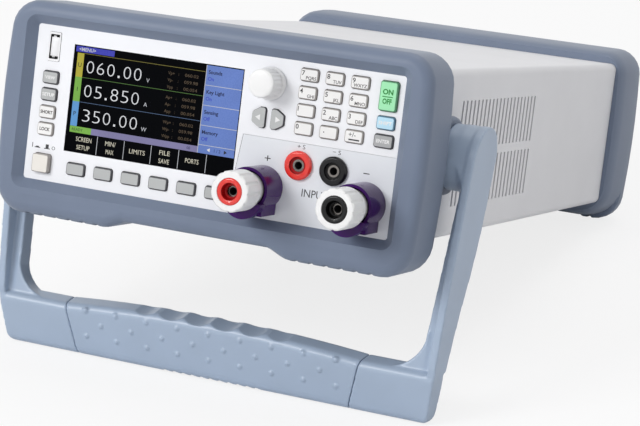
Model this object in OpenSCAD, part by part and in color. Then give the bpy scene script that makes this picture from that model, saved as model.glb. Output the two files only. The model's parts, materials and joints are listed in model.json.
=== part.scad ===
// Bench dc electronic load, standing on its rear feet with the handle swung down as a stand.
// Sizes in mm. The case is drawn square in its own frame (X right, Y back, Z up, origin in the
// middle of the front panel's face) and then tipped back onto the floor at z = 0.

/* [Case] */
// Outside width of the sheet metal case
case_width = 214; // [208:1:222]
// Outside height of the sheet metal case
case_height = 87; // [86:0.5:92]
// Length of the case behind the front panel
case_length = 362; // [340:1:390]
// Thickness of the cover and base sheets
sheet = 1.5; // [1.2:0.1:1.8]
// Rounding of the long edges of the cover
case_round = 4; // [3:0.5:5]
// Width of the cover's turned-in edges under the case
cover_return = 7; // [5:0.5:9]

/* [Side vents] */
// Slots in one row
vent_count = 21; // [10:1:22]
// Distance between slots
vent_pitch = 6; // [4:0.1:6.2]
// Width of one slot
vent_width = 2.4; // [1.5:0.1:3]
// Height of one slot
vent_height = 25; // [15:0.5:28]
// First slot, measured back from the panel face
vent_start = 73; // [68:1:90]
// Solid strip between the two rows
vent_gap = 4.6; // [3:0.2:8]

/* [Front panel] */
// Visible width of the panel in the bumper
window_width = 203.4; // [200:0.2:205]
// Visible height of the panel in the bumper
window_height = 80.2; // [79.6:0.2:81]
// Panel edge tucked behind the bumper
panel_lip = 2; // [1.4:0.1:2.2]
// Panel thickness
panel_thick = 3; // [2.6:0.1:3.4]
// Depth of the terminal plate let into the panel
inset_depth = 1.4; // [1:0.1:1.6]

/* [Bumpers] */
// Bumper beyond the case at each side, at mid height
bumper_side = 11; // [9:0.5:14]
// Bumper above the case
bumper_top = 8.5; // [7:0.5:11]
// Bumper below the case
bumper_bottom = 10.5; // [9:0.5:12]
// How far the sides draw in from the middle to the corners
bumper_bow = 2.5; // [0:0.25:3.5]
// Radius of the upper corners
corner_top = 14; // [11:0.5:17]
// Radius of the lower corners
corner_bottom = 19; // [15:0.5:22]
// Front rim ahead of the panel face
rim_proud = 5; // [4:0.25:7]
// Width of the sloped rim around the panel
rim_slope = 4.6; // [3:0.2:5.4]
// Front bumper, from panel face to its back edge
front_depth = 30; // [27:0.5:34]
// Rear bumper beyond the case at each side, at mid height
rear_side = 7.5; // [6:0.5:10]
// Overlap of the rear bumper on the case
rear_grip = 13; // [10:0.5:16]
// Rear bumper behind the case end
rear_proud = 25; // [20:0.5:30]
// Length of the rear bumper's front slope
rear_slope = 24; // [16:0.5:28]
// Rounding of the bumper edges
bumper_round = 6; // [4:0.5:7]
// Drop of the ribbed front feet below the bumper
foot_drop = 4.5; // [3:0.25:6]
// Drop of the rear feet below the bumper
rear_foot_drop = 2; // [1:0.25:4]
// Length of a rear foot along the case
rear_foot_length = 14; // [10:0.5:18]
// Near end of a front foot, from the middle of the bumper
foot_inner = 38; // [30:1:50]
// Near end of a rear foot, from the middle of the bumper
rear_foot_inner = 88; // [80:1:90]
// Run-out of a foot into the bumper
foot_ramp = 16; // [10:1:20]
// Radius of a foot's outer end
foot_corner = 15; // [13:1:19]
// Distance between foot grooves
foot_rib = 8; // [6:0.5:10]

/* [Handle] */
// Pivot behind the panel face
pivot_y = 47.5; // [45:0.5:50]
// Pivot above the middle of the panel
pivot_z = 0.8; // [-2:0.2:5]
// Radius of the bumper's boss around the pivot
boss_radius = 20; // [19:0.5:24]
// Thickness of the boss on the side of the case
boss_thick = 6; // [5:0.25:8]
// Radius of the handle's hub
hub_radius = 17.25; // [16:0.25:19]
// Radius of the pivot pin
pin_radius = 6; // [5:0.25:7]
// Length of the hub
hub_length = 17.5; // [15:0.5:20]
// Pivot to the middle of the hand bar
reach = 118.8; // [112:0.2:140]
// Inward lean of the arms
arm_splay = 2.8; // [1.5:0.1:3.5]
// Thickness of an arm's outer flange
flange_thick = 4.2; // [3.5:0.1:5]
// Thickness of an arm's inner web
web_thick = 3.8; // [3:0.1:4.5]
// Width of an arm's inner web
web_width = 10.5; // [8:0.5:12]
// Height of the hand bar at its middle
bar_height = 33.4; // [28:0.2:34]
// How much lower the bar's inner edge is towards its ends
bar_crown = 5.6; // [2:0.2:6]
// Thickness of the hand bar at its inner edge
bar_thick = 15; // [13.5:0.5:17]
// Radius of the hand bar's outer edge
bar_edge = 6.2; // [5.5:0.1:7]
// Turn of the bar's section on the arms
bar_cant = 19; // [12:0.5:22]
// Handle swung forward from straight down when it is the stand
stand_angle = 4.5; // [0:0.25:10]
// Half length of the separate grip at its inner edge
grip_half = 86; // [80:0.5:90]
// How much shorter the grip is at its outer edge, each end
grip_slant = 8; // [4:0.5:10]
// Bumps in a long row on the grip
bump_count = 9; // [7:1:9]
// Distance between bumps
bump_pitch = 18; // [15:0.5:18]
// Radius of one bump
bump_radius = 1.7; // [1.2:0.1:2.2]
// Finger scallops along the inner edge
scallop_count = 6; // [3:1:7]
// Distance between finger scallops
scallop_pitch = 15.6; // [14:0.2:18]

/* [Display] */
// Middle of the screen, across
screen_x = -31.9; // [-34:0.2:-30]
// Middle of the screen, up
screen_z = 4.5; // [4:0.1:5]
// Width of the screen opening
screen_width = 96; // [94:0.5:98]
// Height of the screen opening
screen_height = 54.8; // [54:0.2:56]
// Front of the window behind the panel face
window_set = 0.5; // [0.3:0.1:1]
// Display module beyond the opening, all round
module_edge = 3.6; // [3:0.1:4]

/* [Keys] */
// Keypad column distance
pad_pitch_x = 13.48; // [13:0.1:13.6]
// Keypad row distance
pad_pitch_z = 8.82; // [8.7:0.02:9]
// Middle of the keypad, across
pad_x = 64.9; // [64.7:0.1:65.4]
// Middle of the keypad, up
pad_z = 20.65; // [20.4:0.05:20.9]
// Width of a keypad key
pad_width = 9.6; // [8.6:0.1:10]
// Height of a keypad key
pad_height = 6.2; // [5.6:0.1:6.3]
// Soft key distance
soft_pitch = 15.82; // [15.4:0.02:15.9]
// First soft key, across
soft_x = -71.6; // [-72:0.1:-71]
// Soft keys, up
soft_z = -31.6; // [-31.8:0.1:-31.2]
// Width of a soft key
soft_width = 10.5; // [9:0.1:11]
// Height of a soft key
soft_height = 6.3; // [5.4:0.1:6.4]
// Height of keys above the panel
key_proud = 1.4; // [1:0.1:2]
// Inward travel of the keys
key_travel = 1; // [0.6:0.1:1.2]
// Height of the power button above the panel
power_proud = 3; // [2.5:0.1:4]
// Inward travel of the power button
power_travel = 2.5; // [1.5:0.1:2.8]

/* [Encoder] */
// Knob radius at the panel
knob_radius = 8.2; // [7.5:0.1:8.6]
// Knob length
knob_length = 13; // [11:0.5:16]
// Knob, across
knob_x = 31.2; // [31:0.1:31.4]
// Knob, up
knob_z = 27.2; // [27:0.1:27.6]
// Encoder shaft radius
shaft_radius = 3; // [2.5:0.1:3.2]

/* [Terminals] */
// Middle of the terminals, across
post_x = 60.5; // [60:0.25:61]
// Distance between the load terminals
post_pitch = 55; // [53:0.5:56]
// Load terminals, up
post_z = -24.5; // [-25:0.25:-24]
// Load terminal knob radius
grip_radius = 10.15; // [9.8:0.05:10.4]
// Front of the load terminals ahead of the panel
post_reach = 39; // [38:0.5:44]
// Depth of the terminal shrouds
shroud_depth = 19; // [17:0.5:20]
// Distance between the sense jacks
sense_pitch = 18.8; // [18:0.2:20]
// Sense jacks, up
sense_z = -10.9; // [-11.2:0.1:-10.4]
// Sense jack flange radius
jack_radius = 7.3; // [6.8:0.1:7.6]
// Radius of the plug sockets
socket_radius = 2; // [1.9:0.05:2.1]
// Radius of the threaded posts
stud_radius = 4; // [3.8:0.1:4.4]

/* [Cooling] */
// Fan frame size
fan_size = 80; // [76:1:80]
// Fan frame depth
fan_depth = 25; // [20:1:28]
// Fan, across
fan_x = -48; // [-52:1:-45]
// Fan blades
blade_count = 7; // [5:1:9]
// Heatsink fins
fin_count = 13; // [9:1:15]
// Heatsink length
sink_length = 130; // [100:5:150]

/* [Fits] */
// Gap between fixed pieces that slip together
fit = 0.1; // [0.05:0.05:0.15]
// Gap around keys and other moving pieces
play = 0.3; // [0.25:0.05:0.4]
// Radial clearance of running shafts
run = 0.05; // [0.03:0.01:0.08]

/* [Hidden] */
$fn = 48;
eps = 0.01;
half_w = case_width / 2;
half_h = case_height / 2;
panel_w = window_width / 2 + panel_lip;
panel_h = window_height / 2 + panel_lip;
case_front = panel_thick;
case_back = panel_thick + case_length;
rear_plate = 1.5;
bumper_w = half_w + bumper_side;
rear_w = half_w + rear_side;
bumper_hi = half_h + bumper_top;
bumper_lo = -half_h - bumper_bottom;
inner_w = half_w - sheet;
inner_h = half_h - sheet;
floor_z = -inner_h + sheet;

// Bumper sections: [distance along Y, inset from the outline]
function edge(a) = bumper_round * (1 - sin(a));
function drop(a) = bumper_round * (1 - cos(a));
turns = [0, 22, 45, 68, 90];
front_rings = concat(
    [for (a = turns) [-rim_proud + drop(a), edge(a)]],
    [for (a = [90, 60, 30]) [front_depth - 4 * (1 - cos(a)), 4 * (1 - sin(a))]]
);
rear_front = case_back - rear_grip;
rear_back = case_back + rear_plate + rear_proud;
rear_lip = 0.6;
slope_rise = rear_side - bumper_bow - rear_lip;
rear_rings = concat(
    [for (a = [0, 25, 50, 90]) [rear_front + rear_slope * (1 - cos(a)), slope_rise * (1 - sin(a))]],
    [for (i = [4:-1:0]) [rear_back - drop(turns[i]), edge(turns[i])]]
);

// Rounded outline, counter-clockwise seen from the front, with n points on each side for bowing
function arc(cx, cz, r, a0) =
    [for (i = [0:6]) [cx + r * cos(a0 + 15 * i), cz + r * sin(a0 + 15 * i)]];
function side(x, z0, z1, n) = [for (i = [1:1:n]) [x, z0 + (z1 - z0) * i / (n + 1)]];
function frame(w, hi, lo, rt, rb, n = 0) = concat(
    arc(w - rt, hi - rt, rt, 0),
    arc(-w + rt, hi - rt, rt, 90),
    side(-w, hi - rt, lo + rb, n),
    arc(-w + rb, lo + rb, rb, 180),
    arc(w - rb, lo + rb, rb, 270),
    side(w, lo + rb, hi - rt, n)
);
function bowed(pts, mid, span, bow) =
    [for (p = pts) [p[0] * (1 - bow / bumper_w * pow((p[1] - mid) / span, 2)), p[1]]];
function bumper_ring(w, t) = bowed(
    frame(w - t, bumper_hi - t, bumper_lo + t, corner_top - t, corner_bottom - t, 4),
    (bumper_hi + bumper_lo) / 2, (bumper_hi - bumper_lo) / 2, bumper_bow);

module loft(rings, places) {
    n = len(rings[0]);
    m = len(rings);
    pts = [for (i = [0:m - 1]) for (p = rings[i]) [p[0], places[i], p[1]]];
    walls = [for (i = [0:m - 2]) for (j = [0:n - 1]) for (k = [0, 1])
        k == 0 ? [i * n + j, i * n + (j + 1) % n, (i + 1) * n + (j + 1) % n]
               : [i * n + j, (i + 1) * n + (j + 1) % n, (i + 1) * n + j]];
    caps = [[for (j = [n - 1:-1:0]) j], [for (j = [0:n - 1]) (m - 1) * n + j]];
    polyhedron(points = pts, faces = concat(walls, caps));
}

// Handle bar section: one outer edge circle and two inner edge circles
bar_corner = 4;
bar_low = -bar_height / 2 + bar_edge;
bar_front = -bar_thick / 2 + bar_corner;
bar_back = bar_thick / 2 - bar_corner;
function bar_high(x) = bar_height / 2 - bar_corner - bar_crown * pow(x / 100, 2);
bar_end = bar_high(grip_half);

// Stand: the tilt follows from the bar's edge and the rear feet both touching the floor
foot_round = 3;
rear_foot_y = rear_back - bumper_round;
rear_foot_z = bumper_lo - rear_foot_drop + bumper_round;
edge_y = -bar_low * sin(bar_cant);
edge_z = -reach + bar_low * cos(bar_cant);
stand_y = pivot_y + edge_y * cos(stand_angle) + edge_z * sin(stand_angle);
stand_z = pivot_z - edge_y * sin(stand_angle) + edge_z * cos(stand_angle);
run_y = rear_foot_y - stand_y;
run_z = stand_z - rear_foot_z;
tilt = asin((bar_edge - bumper_round) / norm([run_y, run_z])) - atan2(run_z, run_y);
lift = bumper_round + rear_foot_y * sin(tilt) - rear_foot_z * cos(tilt);
function level(p) = p[0] * cos(tilt) + p[1] * sin(tilt);
grip_bevel = 1;
front_most = level([-post_reach, post_z - grip_radius + grip_bevel]);
back_most = max([for (r = rear_rings) level([r[0], bumper_hi - r[1]])]);
mid_y = (front_most + back_most) / 2;

module stood() {
    translate([0, -mid_y, lift]) rotate([-tilt, 0, 0]) children();
}

module swung() {
    stood() translate([0, pivot_y, pivot_z]) rotate([-stand_angle, 0, 0]) children();
}

// Flat shapes on the panel are drawn in X and Z and drawn back along Y
module along_y(y0, y1) {
    translate([0, y1, 0]) rotate([90, 0, 0]) linear_extrude(y1 - y0) children();
}

module along_x(x0, x1) {
    translate([x0, 0, 0]) rotate([90, 0, 90]) linear_extrude(x1 - x0) children();
}

module rounded(w, h, r) {
    square([w - 2 * r, h], center = true);
    square([w, h - 2 * r], center = true);
    for (sx = [-1, 1])
        for (sz = [-1, 1])
            translate([sx * (w / 2 - r), sz * (h / 2 - r)]) circle(r);
}

module rod(r, y0, y1) {
    translate([0, y1, 0]) rotate([90, 0, 0]) cylinder(r = r, h = y1 - y0);
}

module spun(y0) {
    translate([0, y0, 0]) rotate([90, 0, 0]) rotate_extrude() children();
}

// Key places: [across, up]
function pad_at(c, r) = [pad_x + c * pad_pitch_x, pad_z + (1.5 - r) * pad_pitch_z];
function soft_at(i) = [soft_x + i * soft_pitch, soft_z];
left_x = -91.5;
right_x = 93.9;
small_width = 9;
small_height = 6.4;
display_at = [left_x, 13.3];
setup_at = [left_x, 4.5];
short_at = [left_x, -4.6];
lock_at = [left_x, -13.4];
power_at = [left_x, -31.1];
usb_at = [left_x, 29.2];
on_off_at = [right_x, 29.4];
shift_at = [right_x, 16.3];
enter_at = [right_x, 7.4];
arrow_at = [27, 37.1];
arrow_z = 9.8;
shift_width = 9.4;
enter_width = 10;
side_height = 6.4;
on_width = 9.2;
on_height = 14.5;
power_size = 9.6;
arrow_width = 7;
arrow_height = 10;
arrow_nose = 4.4;
key_round = 1.2;
flange_edge = 0.9;
flange_deep = 1.1;
flange_y = panel_thick + fit;
board_y = flange_y + flange_deep + key_travel + 1.4;
board_thick = 1.6;
plus_x = post_x - post_pitch / 2;
minus_x = post_x + post_pitch / 2;
plus_sense_x = post_x - sense_pitch / 2;
minus_sense_x = post_x + sense_pitch / 2;
collar_radius = 6.4;
collar_y = -shroud_depth + 3.2;
washer_thick = 1.4;
washer_y = collar_y - fit - washer_thick;
neck_radius = grip_radius - 1.6;
shroud_in = grip_radius - 0.5;
shroud_out = grip_radius + 0.9;
jack_body = 5.6;
sleeve_radius = 3;
bushing_radius = 4.5;
rear_y = case_back - fan_depth;
plain_keys = concat(
    [for (i = [0:5]) [soft_at(i), [soft_width, soft_height]]],
    [for (p = [display_at, setup_at, short_at, lock_at]) [p, [small_width, small_height]]],
    [for (c = [-1:1]) for (r = [0:3]) [pad_at(c, r), [pad_width, pad_height]]],
    [[shift_at, [shift_width, side_height]], [enter_at, [enter_width, side_height]]],
    [[on_off_at, [on_width, on_height]]]
);

module key_outline(w, h, grow) {
    rounded(w + 2 * grow, h + 2 * grow, key_round + grow);
}

module arrow_outline(grow) {
    // Flat on the inner side, with slanted corners towards the point of the arrow on the left
    w = arrow_width / 2 + grow;
    h = arrow_height / 2 + grow;
    nose = arrow_nose / 2 + grow / 2;
    polygon([[w, 0.8 - h], [w, h - 0.8], [w - 0.8, h], [0.6 - grow / 2, h], [-w + 0.5, nose + 0.6],
             [-w, nose], [-w, -nose], [-w + 0.5, -nose - 0.6], [0.6 - grow / 2, -h], [w - 0.8, -h]]);
}

module pressed(place) {
    stood() translate([place[0], 0, place[1]]) children();
}

module key_cap(w, h, proud) {
    bevel = 0.5;
    hull() {
        along_y(-proud, -proud + eps, $fn = 16) key_outline(w, h, -bevel, $fn = 16);
        along_y(-proud + bevel, -proud + bevel + eps) key_outline(w, h, 0, $fn = 16);
    }
    along_y(-proud + bevel, flange_y) key_outline(w, h, 0);
    along_y(flange_y, flange_y + flange_deep) key_outline(w, h, flange_edge);
}

module arrow_cap() {
    along_y(-key_proud, flange_y) arrow_outline(0);
    along_y(flange_y, flange_y + flange_deep) arrow_outline(flange_edge);
}

module usb_hole(grow) {
    rounded(6.8 + 2 * grow, 15 + 2 * grow, 0.8);
}

// Terminal plate outline, with its slanted left edge
plate_top = 0.2;
plate_left = 19.4;
plate_lean = 5;
module plate_outline(grow) {
    polygon([
        [plate_left - grow, plate_top + grow],
        [plate_left - plate_lean - grow, -panel_h],
        [panel_w, -panel_h],
        [panel_w, plate_top + grow]
    ]);
}

// Board outline behind the panel, cut away behind the terminals
module board_outline() {
    difference() {
        square([2 * panel_w - 1, 2 * panel_h - 4], center = true);
        translate([plate_left - plate_lean, -panel_h]) square([panel_w, panel_h + plate_top + 1]);
    }
}

board_posts = [
    [-panel_w + 4, panel_h - 4], [-panel_w + 4, -panel_h + 4], [panel_w - 2, 21.8],
    [42, panel_h - 6], [43.5, 14], [10.4, -panel_h + 4]
];

// Nodes of the chassis

module front_bumper() {
    color("SlateGray") stood() difference() {
        union() {
            loft([for (r = front_rings) bumper_ring(bumper_w, r[1])], [for (r = front_rings) r[0]]);
            for (s = [-1, 1])
                translate([s * half_w, pivot_y, pivot_z]) rotate([0, s * 90, 0]) {
                    rotate_extrude() pivot_boss();
                    // Tongue from the boss forward into the bumper
                    translate([-boss_radius + 1, front_depth - pivot_y - 6, 0])
                        cube([2 * boss_radius - 2, pivot_y - front_depth + 6, boss_thick - 1]);
                }
            feet(bumper_w, foot_inner, foot_ramp, foot_drop, front_rings);
        }
        loft([frame(window_width / 2 + rim_slope, window_height / 2 + rim_slope,
                    -window_height / 2 - rim_slope, 6, 6, 4),
              frame(window_width / 2 - eps, window_height / 2 - eps, -window_height / 2 + eps, 1.5, 1.5, 4)],
             [-rim_proud - eps, eps]);
        along_y(0, case_front + eps) rounded(2 * (panel_w + fit), 2 * (panel_h + fit), 2);
        along_y(case_front, front_depth + 40)
            rounded(2 * (half_w + fit), 2 * (half_h + fit), case_round + fit);
        pivot_holes();
    }
}

module pivot_boss() {
    polygon([[0, 0], [boss_radius, 0], [boss_radius, boss_thick - 2], [boss_radius - 0.6, boss_thick - 0.6],
             [boss_radius - 2, boss_thick], [0, boss_thick]]);
}

module pivot_holes() {
    translate([-bumper_w - 5, pivot_y, pivot_z]) rotate([0, 90, 0])
        cylinder(r = pin_radius + fit, h = 2 * bumper_w + 10);
}

// Ribbed feet along the bottom of a bumper: each runs out of the bumper towards the middle,
// and its outer end is the bumper's own side carried further down
function ease(t) = t * t * (3 - 2 * t);
function foot_ring(w, inner, ramp, down, t) = bowed(concat(
    [for (i = [0:6]) [inner + ramp * i / 6, bumper_lo + 0.4 - (down + 0.4) * ease(i / 6) + t]],
    [for (a = [270:15:360]) [w - foot_corner + (foot_corner - t) * cos(a),
                             bumper_lo - down + foot_corner + (foot_corner - t) * sin(a)]],
    [[w - t - 0.1, bumper_lo + corner_bottom + 2], [w - 9, bumper_lo + corner_bottom],
     [inner, bumper_lo + 7]]),
    (bumper_hi + bumper_lo) / 2, (bumper_hi - bumper_lo) / 2, bumper_bow);
rear_foot_rings = concat(
    [for (a = [0, 30, 60, 90])
        [rear_back - rear_foot_length + foot_round * (1 - cos(a)), foot_round * (1 - sin(a))]],
    [for (a = [90, 90 - tilt, 68, 45, 22, 0]) [rear_back - drop(a), edge(a)]]
);

module feet(w, inner, ramp, down, rings) {
    y0 = rings[0][0] + 0.05;
    y1 = rings[len(rings) - 1][0] - 0.05;
    for (s = [0, 1])
        mirror([s, 0, 0]) difference() {
            loft([for (r = rings) foot_ring(w, inner, ramp, down, r[1])],
                 [for (r = rings) max(y0, min(y1, r[0]))]);
            for (x = [inner + ramp + 2:foot_rib:w - foot_corner - 2])
                translate([x, y0 - 1, bumper_lo - down - 0.2])
                    rotate([-90, 0, 0]) cylinder(r = 1.7, h = y1 - y0 + 2);
        }
}

module front_panel() {
    color("White") stood() {
        difference() {
            along_y(0, panel_thick) rounded(2 * panel_w, 2 * panel_h, 2);
            along_y(-1, inset_depth) plate_outline(fit);
            along_y(-1, panel_thick + 1) panel_holes();
        }
        for (p = board_posts)
            translate([p[0], 0, p[1]]) rod(1.8, panel_thick - eps, board_y);
    }
}

module panel_holes() {
    translate([screen_x, screen_z]) square([screen_width + 2 * fit, screen_height + 2 * fit], center = true);
    for (k = plain_keys)
        translate(k[0]) key_outline(k[1][0], k[1][1], play);
    translate(power_at) key_outline(power_size, power_size, play);
    translate([arrow_at[0], arrow_z]) arrow_outline(play);
    translate([arrow_at[1], arrow_z]) mirror([1, 0]) arrow_outline(play);
    translate(usb_at) usb_hole(fit);
    translate([knob_x, knob_z]) circle(bushing_radius + fit);
    terminal_holes();
}

module terminal_holes() {
    for (x = [plus_x, minus_x])
        translate([x, post_z]) circle(stud_radius + fit);
    for (x = [plus_sense_x, minus_sense_x])
        translate([x, sense_z]) circle(jack_body + fit);
}

module terminal_plate() {
    color("Gainsboro") stood() along_y(0, inset_depth) difference() {
        intersection() {
            plate_outline(0);
            rounded(2 * panel_w, 2 * panel_h, 2);
        }
        terminal_holes();
    }
}

module display_window() {
    color("DarkSlateGray") stood() translate([screen_x, 0, screen_z])
        along_y(window_set, panel_thick) square([screen_width, screen_height], center = true);
}

module lcd_module() {
    color("Silver") stood() translate([screen_x, 0, screen_z])
        along_y(panel_thick, board_y)
        square([screen_width + 2 * module_edge, screen_height + 2 * module_edge], center = true);
}

module usb_socket() {
    color("WhiteSmoke") stood() translate([usb_at[0], 0, usb_at[1]]) difference() {
        along_y(-0.3, 14) usb_hole(0);
        along_y(-1, 12) rounded(5.2, 12.6, 0.4);
    }
    color("White") stood() translate([usb_at[0] - 0.9, 0, usb_at[1]])
        along_y(1.2, 12.5) square([1.9, 11.2], center = true);
}

module front_board() {
    body = 6;
    color("DarkGreen") stood() {
        difference() {
            along_y(board_y, board_y + board_thick) board_outline();
            along_y(board_y - 1, board_y + 4) board_holes();
        }
        for (k = plain_keys)
            translate([k[0][0], 0, k[0][1]]) tact_switch();
        for (x = arrow_at)
            translate([x, 0, arrow_z]) tact_switch();
        difference() {
            translate([knob_x, 0, knob_z]) {
                along_y(panel_thick + fit, board_y) square([12, 12], center = true);
                rod(bushing_radius, -3, panel_thick + 1);
            }
            translate([knob_x, 0, knob_z]) rod(shaft_radius + run, -4, board_y - 0.4);
        }
        // Latching power switch behind the board
        translate([power_at[0], 0, power_at[1]])
            along_y(board_y + board_thick, board_y + board_thick + 10)
            square([power_size + 4, power_size + 4], center = true);
    }
}

module tact_switch() {
    gap = key_travel + fit;
    top = flange_y + flange_deep + gap;
    rod(1.6, top, board_y);
    along_y(top + 0.5, board_y) square([4.5, 4.5], center = true);
}

module board_holes() {
    translate(power_at) square(power_size + 2 * flange_edge + 2 * play, center = true);
    translate(usb_at) usb_hole(fit);
}

module jack(x) {
    rim = 2.4;
    stood() translate([x, 0, sense_z]) {
        difference() {
            union() {
                spun(0) polygon([[0, 0], [jack_radius, 0], [jack_radius, rim - 0.9],
                                 [jack_radius - 0.9, rim], [0, rim]]);
                rod(jack_body, -eps, panel_thick + 10);
                rod(jack_body + 2.2, panel_thick, panel_thick + 3);
            }
            rod(sleeve_radius + fit / 2, -rim - 1, panel_thick + 11);
            rod(jack_radius - 3, -rim - 1, -rim + 1.6);
        }
    }
}

module plus_sense_jack() {
    color("Red") jack(plus_sense_x);
}

module minus_sense_jack() {
    color("DimGray") jack(minus_sense_x);
}

module terminal_contacts() {
    color("Goldenrod") stood() {
        for (x = [plus_x, minus_x])
            translate([x, 0, post_z]) difference() {
                union() {
                    rod(stud_radius, -post_reach + 4.6, panel_thick + 12);
                    rod(collar_radius, collar_y, -2);
                    rod(collar_radius + 1.5, panel_thick, panel_thick + 3.5);
                }
                rod(socket_radius, -post_reach, -post_reach + 26);
            }
        for (x = [plus_sense_x, minus_sense_x])
            translate([x, 0, sense_z]) difference() {
                rod(sleeve_radius, -0.6, panel_thick + 13);
                rod(socket_radius, -2, panel_thick + 9);
            }
    }
}

module terminal_shrouds() {
    color("Indigo") stood()
        for (x = [plus_x, minus_x])
            translate([x, 0, post_z]) difference() {
                union() {
                    rod(shroud_out, -shroud_depth, 0);
                    along_y(-shroud_depth + 2, 0) shroud_foot(8.4, 12.6);
                    along_y(-shroud_depth - 4.5, -shroud_depth + 2) shroud_lip();
                }
                rod(shroud_in, -shroud_depth - 5, -2);
                along_y(-shroud_depth + 3.4, -2) shroud_foot(6.4, 11.4);
                rod(stud_radius + fit, -3, 1);
            }
}

module shroud_foot(w, deep) {
    translate([-w, -deep]) square([2 * w, deep]);
}

// Raised lower lip that guards the wire hole
module shroud_lip() {
    intersection() {
        union() {
            circle(shroud_out);
            translate([0, -4]) circle(shroud_out - 0.6);
        }
        translate([-shroud_out, -shroud_out - 5]) square([2 * shroud_out, 10]);
    }
}

module cover_outline() {
    difference() {
        rounded(2 * half_w, 2 * half_h, case_round);
        rounded(2 * inner_w, 2 * inner_h, case_round - sheet);
        translate([-half_w + cover_return, -half_h - 1])
            square([2 * (half_w - cover_return), sheet + 2]);
    }
}

module top_cover() {
    color("LightGray") stood() difference() {
        along_y(case_front, case_back) cover_outline();
        for (i = [0:vent_count - 1])
            for (z = [vent_gap / 2 + vent_height / 2, -vent_gap / 2 - vent_height / 2])
                translate([0, vent_start + i * vent_pitch, z])
                    cube([2 * half_w + 2, vent_width, vent_height], center = true);
        pivot_holes();
    }
}

board_left = 6;
board_right = inner_w - 6;
board_near = vent_start - 8;
standoff = 6;
sink_left = fan_x - fan_size / 2;
sink_wide = fan_size;
sink_back = rear_y - 8;

module base_chassis() {
    side_lip = 12;
    w = inner_w - fit;
    color("DarkGray") stood() {
        along_y(case_front, case_back) difference() {
            intersection() {
                rounded(2 * w, 2 * inner_h, case_round - sheet);
                translate([-w, -inner_h]) square([2 * w, side_lip]);
            }
            translate([-w + sheet, floor_z]) square([2 * (w - sheet), side_lip]);
        }
        for (y = [board_near + 8, (board_near + rear_y) / 2, rear_y - 8])
            for (x = [board_left + 6, board_right - 6])
                translate([x, y, floor_z - eps]) cylinder(r = 3.2, h = standoff + eps);
    }
}

module rear_panel() {
    slot = 3.2;
    color("Silver") stood() along_y(case_back, case_back + rear_plate) difference() {
        rounded(2 * panel_w, 2 * panel_h, 2);
        // Concentric grille slots in front of the fan, with cross bars
        translate([fan_x, 0]) for (r = [14:6:fan_size / 2 - 4])
            difference() {
                circle(r + slot / 2);
                circle(r - slot / 2);
                for (a = [45, 135])
                    rotate(a) square([fan_size, 4], center = true);
            }
        translate(inlet_at) square([inlet_width + 2 * fit, inlet_height + 2 * fit], center = true);
        translate(serial_at) square([serial_width + 4 * fit, serial_height + 3 * fit], center = true);
        for (p = fan_corners)
            translate(p) circle(2 + fit);
    }
}

inlet_at = [66, -20];
inlet_width = 27;
inlet_height = 19.6;
serial_at = [66, 16];
serial_width = 19.6;
serial_height = 10.2;

module inlet() {
    w = inlet_width;
    h = inlet_height;
    deep = 17;
    color("Black") stood() translate([inlet_at[0], 0, inlet_at[1]]) {
        difference() {
            union() {
                along_y(case_back - deep - 3, case_back + rear_plate + 1) square([w, h], center = true);
                along_y(case_back + rear_plate, case_back + rear_plate + 2) rounded(w + 4, h + 4, 2);
            }
            along_y(case_back + rear_plate + 2 - deep, case_back + rear_plate + 3)
                rounded(w - 3, h - 3.4, 2);
        }
        for (p = [[-7, -2], [7, -2], [0, 2]])
            translate([p[0], 0, p[1]])
                along_y(case_back + rear_plate + 1.5 - deep, case_back + rear_plate - 4)
                square([2, 4], center = true);
    }
}

module rear_bumper() {
    lip = 3;
    skirt = 1.6;
    ramp = 5;
    gap = rear_foot_inner - 6;
    color("SlateGray") stood() difference() {
        union() {
            loft([for (r = rear_rings) bumper_ring(rear_w, r[1])], [for (r = rear_rings) r[0]]);
            feet(rear_w, rear_foot_inner, ramp, rear_foot_drop, rear_foot_rings);
        }
        // Open between the feet
        along_y(rear_front - 1, rear_back + 1)
            polygon([[gap, bumper_lo - 9], [gap - 3, -half_h - skirt],
                     [-gap + 3, -half_h - skirt], [-gap, bumper_lo - 9]]);
        along_y(rear_front - 1, case_back + eps)
            rounded(2 * (half_w + fit), 2 * (half_h + fit), case_round + fit);
        along_y(case_back, case_back + rear_plate)
            rounded(2 * (panel_w + fit), 2 * (panel_h + fit), 2);
        loft([frame(panel_w - 3, panel_h - 3, -panel_h + 3, 3, 3),
              frame(panel_w - 3 + lip, panel_h - 3 + lip, -panel_h + 3 - lip, 6, 6)],
             [case_back + rear_plate - eps, rear_back + eps]);
    }
}

module handle_pivots() {
    color("Silver") stood()
        for (s = [-1, 1])
            translate([s * (inner_w - fit), pivot_y, pivot_z]) rotate([0, s * 90, 0]) {
                cylinder(r = pin_radius, h = pin_out - inner_w + fit);
                translate([0, 0, -2.5]) cylinder(r = pin_radius + 4, h = 2.5);
            }
}

module main_board() {
    z0 = floor_z + standoff;
    top = z0 + board_thick;
    color("SeaGreen") stood() {
        translate([board_left, board_near, z0])
            cube([board_right - board_left, rear_y - board_near, board_thick]);
        // Mains transformer with its coil
        translate([board_right - 56, rear_y - 62, top - eps]) cube([50, 46, 24]);
        translate([board_right - 49, rear_y - 55, top]) cube([36, 32, 30]);
        for (i = [0:2])
            translate([board_right - 14, board_near + 40 + 24 * i, top - eps]) cylinder(r = 9, h = 28);
        for (i = [0:3])
            translate([board_left + 14, board_near + 30 + 34 * i, top - eps]) cube([22, 22, 3]);
        // Serial port on a riser at the back
        translate([serial_at[0] - 10, rear_y - 2, z0]) cube([20, 2, serial_at[1] - z0]);
        translate([serial_at[0], 0, serial_at[1]])
            along_y(rear_y - 2, case_back + rear_plate + 4)
            square([serial_width, serial_height], center = true);
    }
}

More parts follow.
